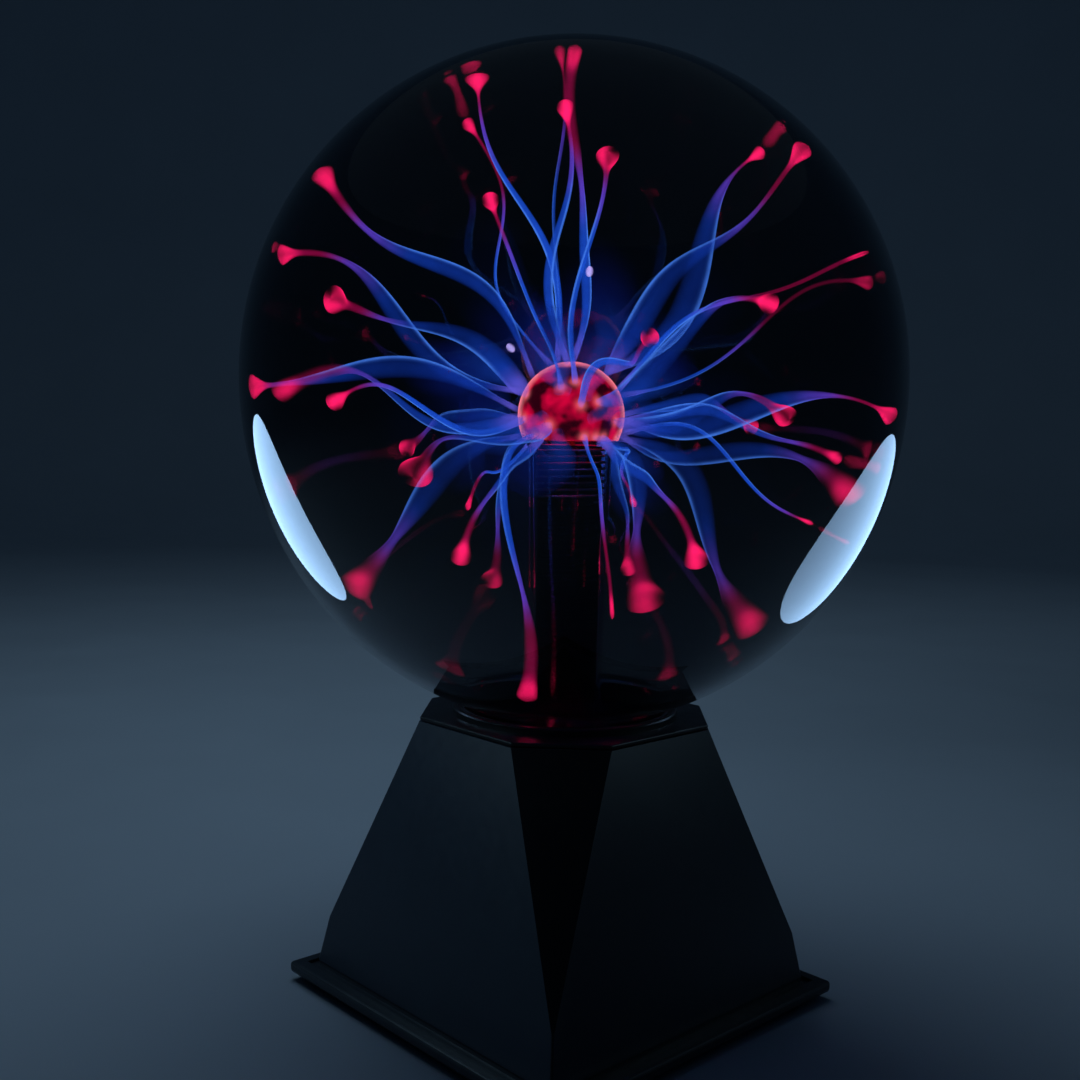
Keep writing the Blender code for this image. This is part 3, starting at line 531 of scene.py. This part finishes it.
# Each filament: clock angle of its tip as the camera sees it, how far out the tip looks (1 at the
# outline), near side 1 or far side -1, bow in mm, half-widths in mm of its body, of its pink neck
# and of its flare, where it turns pink, how blurred its end is, and how bright it is.
FILAMENTS = (
    (-16, 0.94, -1, 5, 1.3, 0.5, 4.2, 0.88, 0.0, 1.0),
    (-24, 0.83, -1, -7, 0.5, 0.7, 2.4, 0.66, 0.4, 0.8),
    (-23, 0.59, 1, 2, 0.5, 0.6, 2.2, 0.82, 0.3, 0.9),
    (-3, 0.80, 1, -4, 1.7, 0.6, 2.3, 0.88, 0.2, 1.0),
    (-3, 0.98, -1, -3, 0.5, 0.4, 2.0, 0.80, 0.6, 0.4),
    (2, 0.98, -1, 5, 1.6, 2.2, 2.2, 0.66, 0.7, 1.0),
    (8, 0.67, 1, -2, 1.0, 0.9, 3.0, 0.90, 0.6, 1.0),
    (42, 0.88, -1, 9, 5.2, 0.6, 2.4, 0.88, 0.1, 0.9),
    (44, 0.95, 1, -3, 3.8, 0.9, 3.0, 0.80, 0.1, 1.0),
    (65, 0.93, 1, -5, 0.9, 0.7, 0.5, 0.56, 0.3, 1.0),
    (71, 0.63, 1, 4, 3.6, 0.9, 2.7, 0.86, 0.4, 1.0),
    (73, 0.94, -1, 4, 0.5, 0.8, 2.4, 0.52, 0.8, 0.5),
    (56, 0.27, 1, -3, 1.2, 0.8, 2.4, 0.80, 0.7, 0.9),
    (98, 0.97, 1, 6, 3.8, 0.6, 3.0, 0.82, 0.1, 1.0),
    (101, 0.65, 1, 3, 3.4, 1.6, 3.0, 0.84, 0.7, 1.0),
    (103, 0.56, -1, -3, 2.4, 1.6, 3.2, 0.84, 0.8, 0.8),
    (105, 0.84, -1, -4, 2.2, 1.4, 2.4, 0.82, 0.7, 0.9),
    (114, 0.91, 1, 5, 3.0, 4.0, 5.0, 0.86, 0.9, 0.6),
    (118, 0.84, -1, -9, 0.7, 0.5, 1.0, 0.90, 0.5, 0.8),
    (142, 0.92, 1, -5, 3.6, 4.4, 5.6, 0.84, 1.0, 0.5),
    (147, 0.67, 1, 4, 2.2, 1.2, 3.4, 0.76, 0.6, 1.0),
    (160, 0.70, 1, -3, 2.8, 3.4, 5.4, 0.78, 1.0, 0.7),
    (164, 0.61, -1, 3, 2.4, 1.6, 3.2, 0.82, 0.8, 0.7),
    (152, 0.41, -1, -2, 1.0, 0.8, 1.6, 0.74, 0.4, 0.9),
    (171, 0.72, 1, 2, 0.5, 0.6, 0.6, 0.70, 0.4, 0.8),
    (189, 0.99, 1, 4, 1.5, 2.8, 3.4, 0.74, 0.8, 1.0),
    (211, 0.64, 1, -3, 2.0, 1.2, 2.8, 0.80, 0.7, 0.9),
    (203, 0.65, -1, 3, 1.6, 2.4, 4.4, 0.80, 1.0, 0.5),
    (219, 0.50, -1, -3, 0.6, 0.8, 1.2, 0.76, 0.3, 0.9),
    (228, 0.91, 1, 4, 4.2, 4.0, 5.0, 0.86, 1.0, 0.6),
    (238, 0.55, 1, -3, 2.4, 2.2, 4.8, 0.86, 0.9, 0.8),
    (250, 0.54, -1, 4, 3.0, 2.4, 3.6, 0.84, 0.8, 0.8),
    (263, 0.72, 1, -5, 1.1, 0.6, 2.5, 0.86, 0.3, 1.0),
    (271, 0.97, -1, 6, 3.4, 1.2, 4.0, 0.92, 0.1, 1.0),
    (266, 0.88, 1, -6, 2.0, 2.4, 3.2, 0.76, 0.9, 0.7),
    (292, 0.96, -1, -6, 3.0, 1.2, 3.4, 0.80, 0.1, 1.0),
    (292, 0.75, 1, 7, 3.4, 1.5, 3.8, 0.82, 0.4, 1.0),
    (312, 0.96, 1, 7, 2.4, 1.6, 3.6, 0.84, 0.2, 1.0),
)

# Faint wide sheets of glow between the filaments: clock angle, reach, side, half-width in mm, brightness.
VEILS = (
    (-32, 0.50, 1, 9, 0.18),
    (-9, 0.46, 1, 8, 0.18),
    (24, 0.52, -1, 10, 0.13),
    (50, 0.44, 1, 8, 0.18),
    (78, 0.46, -1, 9, 0.18),
    (112, 0.44, 1, 8, 0.17),
    (150, 0.58, -1, 9, 0.16),
    (214, 0.52, 1, 8, 0.16),
    (240, 0.55, -1, 9, 0.18),
    (262, 0.58, 1, 9, 0.20),
    (284, 0.62, -1, 8, 0.20),
)
# Small bright spots: clock angle, reach, side.
SPARKS = ((9, 0.33, 1), (300, 0.21, 1))
SPARK_R = 0.0012
SPARK_NEARER = 0.020  # how far in front of the bulb's middle they are
GAS_R = 0.972 * GLOBE_R  # the tips lie on this sphere, just inside the glass
ROOT_R = BULB_R + 0.0002
LOWEST_ROOT = -0.40  # filaments leave the dome above where it meets the stem
THREAD = 0.00050  # half-width of a filament where it is thinnest
WOBBLE = 0.0020
PULL = 0.34  # how far along its span a filament keeps its first and its last direction
VEIL_REACH = 0.8
FILAMENT_GLOW, VEIL_GLOW = 5.4, 3.0


def on_glass(clock, reach, near):
    """The point near the globe's wall that the camera sees at this clock angle and reach."""
    to_globe = GLOBE_CENTRE - EYE
    ahead = to_globe.normalized()
    side = ahead.cross(FRAME_UP).normalized()
    rise = side.cross(ahead)
    spread = reach * GLOBE_R / math.sqrt(to_globe.length_squared - GLOBE_R**2)
    turn = math.radians(clock)
    ray = (ahead + (side * math.sin(turn) + rise * math.cos(turn)) * spread).normalized()
    middle = ray.dot(to_globe)
    miss = to_globe.length_squared - middle**2
    half = math.sqrt(max(0.0, GAS_R**2 - miss))
    point = EYE + ray * (middle - half * near)
    return GLOBE_CENTRE + (point - GLOBE_CENTRE).normalized() * GAS_R


def root_direction(tip):
    """Which way a filament leaves the dome: towards its tip, but turned out of the line of sight."""
    out = tip - BULB_CENTRE
    if out.normalized().dot(BACK) < 0.85:
        out -= BACK * out.dot(BACK) * 0.55
    out.normalize()
    if out.z < LOWEST_ROOT:
        level = Vector((out.x, out.y, 0)).normalized() * math.sqrt(1 - LOWEST_ROOT**2)
        out = level + UP * LOWEST_ROOT
    return out


def shares(count):
    """Shares along a filament, closer together towards its tip."""
    return [1 - (1 - i / (count - 1)) ** 1.6 for i in range(count)]


def path_of(tip, bow, lift, seed, count):
    """Points from the electrode to the tip: straight off the electrode, bowed, and square to the glass."""
    out = root_direction(tip)
    wall = (tip - GLOBE_CENTRE).normalized()
    start = BULB_CENTRE + out * ROOT_R
    span = (tip - start).length
    side = out.cross(BACK)
    side = side.normalized() if side.length > 0.05 else RIGHT.copy()
    depth = out.cross(side)
    knots = (
        start,
        start + out * span * PULL,
        tip - wall * span * PULL + UP * lift,
        tip,
    )
    points = []
    for t in shares(count):
        s = 1 - t
        weights = (s**3, 3 * s * s * t, 3 * s * t * t, t**3)
        point = sum((k * w for k, w in zip(knots, weights)), Vector())
        sway = math.sin(math.pi * t) ** 1.5
        wave = math.sin(t * (5.2 + 4 * math.sin(seed)) + seed)
        point += side * (bow * math.sin(math.tau * t * 0.9) * (1 - t * 0.3) + WOBBLE * sway * wave)
        point += depth * WOBBLE * sway * math.cos(t * 6.0 + 2 * seed)
        points.append(point)
    return points


class Ribbons:
    """Closed tubes of flat oval section, gathered in one mesh with a painted glow."""

    def __init__(self, sides):
        self.sides = sides
        self.verts = []
        self.faces = []
        self.paint = []

    def add(self, points, shape, paint, twist):
        """shape and twist take the share along, and paint takes that and the place across, -1 to 1."""
        first = len(self.verts)
        count = len(points)
        for i, (t, point) in enumerate(zip(shares(count), points)):
            after = points[min(i + 1, count - 1)]
            before = points[max(i - 1, 0)]
            along = (after - before).normalized()
            across = along.cross(BACK)
            if across.length < 0.2:
                across = along.cross(RIGHT)
            across.normalize()
            across = Matrix.Rotation(twist(t), 3, along) @ across
            normal = along.cross(across)
            wide, thick = shape(t)
            for k in range(self.sides):
                angle = math.tau * k / self.sides
                u = math.cos(angle)
                self.verts.append(point + across * wide * u + normal * thick * math.sin(angle))
                self.paint.append(paint(t, u))
        for i in range(count - 1):
            for k in range(self.sides):
                j = (k + 1) % self.sides
                low, high = first + i * self.sides, first + (i + 1) * self.sides
                self.faces.append((low + k, low + j, high + j, high + k))
        self.faces.append(tuple(first + k for k in reversed(range(self.sides))))
        last = first + (count - 1) * self.sides
        self.faces.append(tuple(last + k for k in range(self.sides)))

    def mesh(self, name):
        mesh = bpy.data.meshes.new(name)
        mesh.from_pydata([tuple(v) for v in self.verts], [], self.faces)
        paint = mesh.color_attributes.new("glow", "FLOAT_COLOR", "POINT")
        paint.data.foreach_set("color", np.array(self.paint, np.float32).ravel())
        mesh.update()
        return mesh


def filament_shape(body, neck, flare, pink, soft, seed):
    """Half-width and half-thickness along a filament, in metres."""
    peak = 0.75 + 0.35 * math.sin(seed * 3.1)

    def shape(t):
        bulge = math.sin(math.pi * min(1.0, t / pink) ** peak) ** 1.4
        root = 0.0005 * (1 - smooth(t, 0.0, 0.10))
        pinched = THREAD + (neck - THREAD) * smooth(t, pink - 0.10, pink + 0.10)
        opening = smooth(t, 0.915 - 0.03 * soft, 0.992) ** 1.7
        wide = pinched + (body - THREAD) * bulge + root + (flare - neck) * opening
        thick = 0.8 * THREAD + root + 0.10 * body * bulge
        thick += (0.35 * neck - 0.5 * THREAD) * smooth(t, pink - 0.10, pink + 0.10)
        thick += (0.85 * flare - 0.35 * neck) * opening
        cap = math.sqrt(max(0.01, 1 - max(0.0, (t - 0.982) / 0.018) ** 2))
        return max(wide, THREAD) * cap, max(thick, 0.6 * THREAD) * cap

    return shape


def filament_paint(body, pink, soft, bright, lit_edge):
    """Colour and opacity along and across a filament. lit_edge is its bright side, 1 or -1."""
    broad = smooth(body, 0.0008, 0.0030)

    def paint(t, u):
        color = mix(LILAC, mix(BLUE, DEEP_BLUE, broad), smooth(t, 0.0, 0.14))
        edge = smooth(lit_edge * u, 0.60, 0.92) * (1 - smooth(lit_edge * u, 0.96, 1.0) * 0.5)
        color = mix(color, EDGE_BLUE, edge * smooth(t, 0.05, 0.2))
        color = mix(color, VIOLET, smooth(t, pink - 0.24, pink - 0.05))
        color = mix(color, MAGENTA, smooth(t, pink - 0.07, pink + 0.06))
        color = mix(color, PINK, smooth(t, 0.90, 0.97))
        swell = math.sin(math.pi * min(1.0, t / pink)) ** 0.6
        sheet = 0.70 - 0.57 * broad * swell
        solid = sheet * (1 - u * u) ** (0.60 + 0.3 * broad) + (0.74 - 0.3 * broad) * edge
        end = (0.36 + 0.50 * smooth(t, 0.91, 0.965)) * (1 - u * u) ** (1.5 + 1.3 * soft)
        end *= 1 - 0.35 * soft
        solid = solid + (end - solid) * smooth(t, pink - 0.12, pink + 0.05)
        solid *= 1 - (0.45 + 0.40 * soft) * smooth(t, 0.975, 1.0)
        solid *= 0.15 + 0.85 * smooth(t, 0.0, 0.045)
        glow = 0.55 + 0.45 * smooth(t, 0.89, 0.955)
        return (*[c * glow for c in color], min(1.0, max(0.0, solid * bright)))

    return paint


def veil_paint(bright):
    """Colour and opacity of a faint sheet, gone before it reaches the glass."""

    def paint(t, u):
        color = mix(BLUE, NAVY, smooth(t, 0.0, 0.6))
        solid = bright * (1 - u * u) * (1 - smooth(t, 0.45, 1.0)) * (0.4 + 0.6 * smooth(t, 0.0, 0.2))
        return (*color, solid)

    return paint


def make_filaments():
    ribbons = Ribbons(24)
    for i, (clock, reach, near, bow, body, neck, flare, pink, soft, bright) in enumerate(FILAMENTS):
        tip = on_glass(clock, reach, near)
        lift = 0.010 if 60 < clock % 360 < 300 else 0.0
        points = path_of(tip, bow / 1000, lift, i * 1.7, 60)
        shape = filament_shape(body / 1000, neck / 1000, flare / 1000, pink, soft, i)
        paint = filament_paint(body / 1000, pink, soft, bright, 1 if i % 2 else -1)

        def twist(t, i=i):
            return 0.4 * math.sin(i * 1.3) + 0.5 * math.sin(t * 3.0 + i)

        ribbons.add(points, shape, paint, twist)
    piece("filaments", ribbons.mesh("filaments"), glowing("plasma", FILAMENT_GLOW))


def add_veils(ribbons):
    for i, (clock, reach, near, body, bright) in enumerate(VEILS):
        tip = BULB_CENTRE.lerp(on_glass(clock, reach, near), VEIL_REACH)
        points = path_of(tip, 0.004 * (-1) ** i, 0.0, 2.3 * i, 30)

        def shape(t, body=body):
            half = 0.002 + body / 1000 * smooth(t, 0.0, 0.6)
            return half, 0.0008 + 0.1 * half

        def twist(t, i=i):
            return 0.3 * math.sin(i)

        ribbons.add(points, shape, veil_paint(bright), twist)


def add_sparks(ribbons):
    """Short beads that lie where the camera sees each spark."""

    def bead(t):
        half = SPARK_R * math.sqrt(max(0.01, 1 - (2 * t - 1) ** 2))
        return half, half

    for clock, reach, near in SPARKS:
        ray = (on_glass(clock, reach, near) - EYE).normalized()
        middle = EYE + ray * ((BULB_CENTRE - EYE).dot(ray) - SPARK_NEARER)
        along = (middle - BULB_CENTRE).normalized()
        points = [middle + along * SPARK_R * 1.3 * (2 * t - 1) for t in shares(16)]
        ribbons.add(points, bead, lambda t, u: (*PALE, (1 - u * u) ** 1.5), lambda t: 0.0)


def make_veils():
    ribbons = Ribbons(16)
    add_veils(ribbons)
    add_sparks(ribbons)
    piece("veils", ribbons.mesh("veils"), glowing("faint_plasma", VEIL_GLOW))


# The glow on the dome: the gap under it and how thick it is, in metres, and how far round it a hot root
# spreads, as a share of its radius.
DOME_GAP, DOME_THICK = 0.00005, 0.00017
HOT_SPREAD = 0.085


def paint_dome(mesh):
    """Red clouds with dark patches between, and a pale spot under each filament's root."""
    roots = [root_direction(on_glass(*spec[:3])) for spec in FILAMENTS]
    paint = []
    for vertex in mesh.vertices:
        out = (vertex.co - BULB_CENTRE).normalized()
        hot = max(math.exp(-(((out - root).length / HOT_SPREAD) ** 2)) for root in roots)
        cloud = noise.fractal(out * 2.3 + Vector((4.1, 0.3, 1.7)), 0.85, 2.0, 3)
        color = mix(linear(36, 0, 12), linear(160, 0, 42), smooth(cloud, -0.35, 0.06))
        color = mix(color, linear(216, 4, 58), smooth(cloud, 0.08, 0.55))
        color = mix(color, linear(255, 108, 120), 0.9 * hot)
        paint.append((*color, 0.84 + 0.16 * hot))
    layer = mesh.color_attributes.new("glow", "FLOAT_COLOR", "POINT")
    layer.data.foreach_set("color", np.array(paint, np.float32).ravel())


def make_dome_glow():
    """The thin glow on the outside of the bulb, with a pale outline."""
    low, high = BULB_R + DOME_GAP, BULB_R + DOME_GAP + DOME_THICK
    stop = 90 + math.degrees(math.asin((BULB_Z - liner_low.z) / high))
    mesh = turned("dome_glow", arc(high, BULB_Z, 0, stop, 70) + arc(low, BULB_Z, 0, stop, 24)[::-1], 160)
    paint_dome(mesh)
    nodes = Nodes("dome_glow")
    shader = nodes.principled(Roughness=1.0, Specular_IOR_Level=0.0)
    shader.inputs["Base Color"].default_value = (0, 0, 0, 1)
    painted = nodes.add("ShaderNodeAttribute", attribute_name="glow")
    rim = nodes.add("ShaderNodeLayerWeight")
    rim.inputs["Blend"].default_value = 0.5
    edge = nodes.spread(rim.outputs["Facing"], 0.0, 1.0, 0.56, 0.84)
    warm = nodes.add("ShaderNodeMix", data_type="RGBA")
    nodes.link(edge, warm.inputs["Factor"])
    nodes.link(painted.outputs["Color"], warm.inputs["A"])
    warm.inputs["B"].default_value = (*linear(255, 128, 142), 1)
    nodes.link(warm.outputs["Result"], shader.inputs["Emission Color"])
    nodes.link(nodes.spread(nodes.noise(260, 3), 3.0, 3.8), shader.inputs["Emission Strength"])
    nodes.link(painted.outputs["Alpha"], shader.inputs["Alpha"])
    nodes.link(shader.outputs["BSDF"], nodes.output.inputs["Surface"])
    nodes.material.cycles.emission_sampling = "NONE"
    piece("dome_glow", mesh, nodes.material, sharp=40)


def make_electrode():
    """The glowing coating under the bulb's glass."""
    inner = LINER_R - LINER_WALL
    stop = liner_low.z
    angles = [90 + math.degrees(math.asin((BULB_Z - stop) / r)) for r in (LINER_R, inner)]
    outline = arc(LINER_R, BULB_Z, 0, angles[0], 40) + arc(inner, BULB_Z, 0, angles[1], 30)[::-1]
    mesh = turned("electrode", outline, 96)
    nodes = Nodes("electrode_glow")
    shader = nodes.principled(Emission_Strength=3.0)
    shader.inputs["Base Color"].default_value = (0.30, 0.004, 0.02, 1)
    cloud = nodes.ramp(
        nodes.noise(95, 2),
        (0.34, linear(50, 0, 16)),
        (0.47, linear(140, 0, 42)),
        (0.62, linear(196, 4, 54)),
        (0.76, linear(246, 70, 96)),
    )
    nodes.link(cloud, shader.inputs["Emission Color"])
    nodes.link(nodes.spread(nodes.noise(300, 3), 0.3, 0.4), shader.inputs["Roughness"])
    nodes.link(nodes.bump(nodes.noise(500, 2), 0.1, 0.00003), shader.inputs["Normal"])
    nodes.link(shader.outputs["BSDF"], nodes.output.inputs["Surface"])
    piece("electrode", mesh, nodes.material, ["electrode_liner"], sharp=40)


# ---- stage --------------------------------------------------------------------------------------


FLAT_R, WALL_R, WALL_TOP = 1.7, 2.5, 2.2
FLOOR_STEPS = 96
AMBIENT = 0.045
COOL = (0.74, 0.88, 1.0)
BLUE_SIDE = (0.45, 0.76, 1.0)
BLUE_RIM = (0.37, 0.63, 1.0)


def make_floor():
    """A pale floor that curves up into a backdrop all round."""
    outline = [(radius, 0.0) for radius in (0.25, 0.6, 1.1, FLAT_R)]
    outline += bend((FLAT_R, 0.0), (WALL_R, 0.0), (WALL_R, 0.9), 14)
    outline.append((WALL_R, WALL_TOP))
    angles = [math.tau * i / FLOOR_STEPS for i in range(FLOOR_STEPS)]
    bm = bmesh.new()
    middle = bm.verts.new((0, 0, 0))
    rings = []
    for radius, height in outline:
        rings.append([bm.verts.new((radius * math.cos(a), radius * math.sin(a), height)) for a in angles])
    for i in range(FLOOR_STEPS):
        j = (i + 1) % FLOOR_STEPS
        bm.faces.new((middle, rings[0][i], rings[0][j]))
        for low, high in zip(rings, rings[1:]):
            bm.faces.new((low[i], high[i], high[j], low[j]))
    mesh = bpy.data.meshes.new("floor")
    bm.to_mesh(mesh)
    bm.free()
    mesh.shade_smooth()
    mesh.materials.append(surface("floor", linear(152, 177, 198), 0.55, 60, 0.03, 0.1, 0.0002))
    obj = bpy.data.objects.new("floor", mesh)
    bpy.context.scene.collection.objects.link(obj)
    obj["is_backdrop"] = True


def area_light(name, place, target, size, power, color, glossy=True, only=None, shape="RECTANGLE"):
    """A soft panel at place, facing target. With only, it lights those pieces and nothing else."""
    data = bpy.data.lights.new(name, "AREA")
    data.shape = shape
    data.size, data.size_y = size
    data.energy = power
    data.color = color
    obj = bpy.data.objects.new(name, data)
    obj.location = place
    obj.rotation_euler = (target - place).to_track_quat("-Z", "Y").to_euler()
    obj.visible_camera = False
    obj.visible_transmission = False
    obj.visible_glossy = glossy
    if only:
        chosen = bpy.data.collections.new(name + "_on")
        for piece_lit in only:
            chosen.objects.link(piece_lit)
        obj.light_linking.receiver_collection = chosen
    bpy.context.scene.collection.objects.link(obj)


def make_lights(globe, base):
    world = bpy.data.worlds.new("studio")
    bpy.context.scene.world = world
    world.use_nodes = True
    ambient = world.node_tree.nodes["Background"]
    ambient.inputs["Color"].default_value = (*linear(120, 150, 180), 1)
    ambient.inputs["Strength"].default_value = AMBIENT
    over = AWAY * 0.22 - RIGHT * 0.12
    area_light("top", over + UP * 0.62, over, (0.50, 0.40), 0.85, COOL, glossy=False)
    behind = AWAY * 0.55 + RIGHT * 0.15 + UP * 0.75
    area_light("wash", behind, AWAY * 2.5 + UP * 0.25, (1.20, 0.40), 0.80, COOL, glossy=False)
    left = UP * 0.26 - RIGHT * 0.24 - AWAY * 0.06
    area_light("left_soft", left, RIGHT * -0.06 + UP * 0.08, (0.20, 0.12), 0.40, BLUE_SIDE, only=base)
    right = UP * 0.40 + RIGHT * 0.66 - AWAY * 0.05
    area_light("right_soft", right, UP * 0.09, (0.40, 0.24), 0.35, BLUE_SIDE, only=base)
    # The two ovals whose reflections are the pale crescents low on the globe.
    left = AWAY * 0.086 - RIGHT * 0.215 + UP * 0.088
    facing = AWAY * 0.077 + RIGHT * 0.081 + UP * 0.138
    area_light("left_rim", left, facing, (0.137, 0.168), 0.31, BLUE_RIM, only=[globe], shape="ELLIPSE")
    right = AWAY * 0.066 + RIGHT * 0.211 + UP * 0.101
    facing = AWAY * -0.108 + RIGHT * 0.106 + UP * 0.321
    area_light("right_rim", right, facing, (0.151, 0.193), 0.25, BLUE_RIM, only=[globe], shape="ELLIPSE")


def set_rendering():
    scene = bpy.context.scene
    scene.view_settings.view_transform = "Standard"
    scene.view_settings.look = "None"
    scene.cycles.transparent_max_bounces = 64
    scene.cycles.transmission_bounces = 20
    scene.cycles.max_bounces = 20
    scene.cycles.sample_clamp_indirect = 4.0


def main():
    make_camera()
    make_floor()
    set_rendering()
    finishes = make_materials()
    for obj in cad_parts.values():
        for slot in obj.material_slots:
            key = slot.material.name.split(".")[0]
            if key in finishes:
                slot.material = finishes[key]
    globe = make_globe(finishes)
    make_stem(finishes)
    make_sleeve(finishes)
    make_electrode()
    base = [
        softened("housing", "housing_shell", finishes, "housing_black", 0.0005, corners=0.0015),
        softened("bottom_plate", "base_plate", finishes, "plate_black", 0.0003),
        softened("top_collar", "collar", finishes, "collar_black", 0.0003),
    ]
    make_dome_glow()
    make_filaments()
    make_veils()
    make_lights(globe, base)


main()
size = {"at_load": bounds_at_load, "at_finish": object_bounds()}
{key: [list(corner) for corner in pair] for key, pair in size.items()}
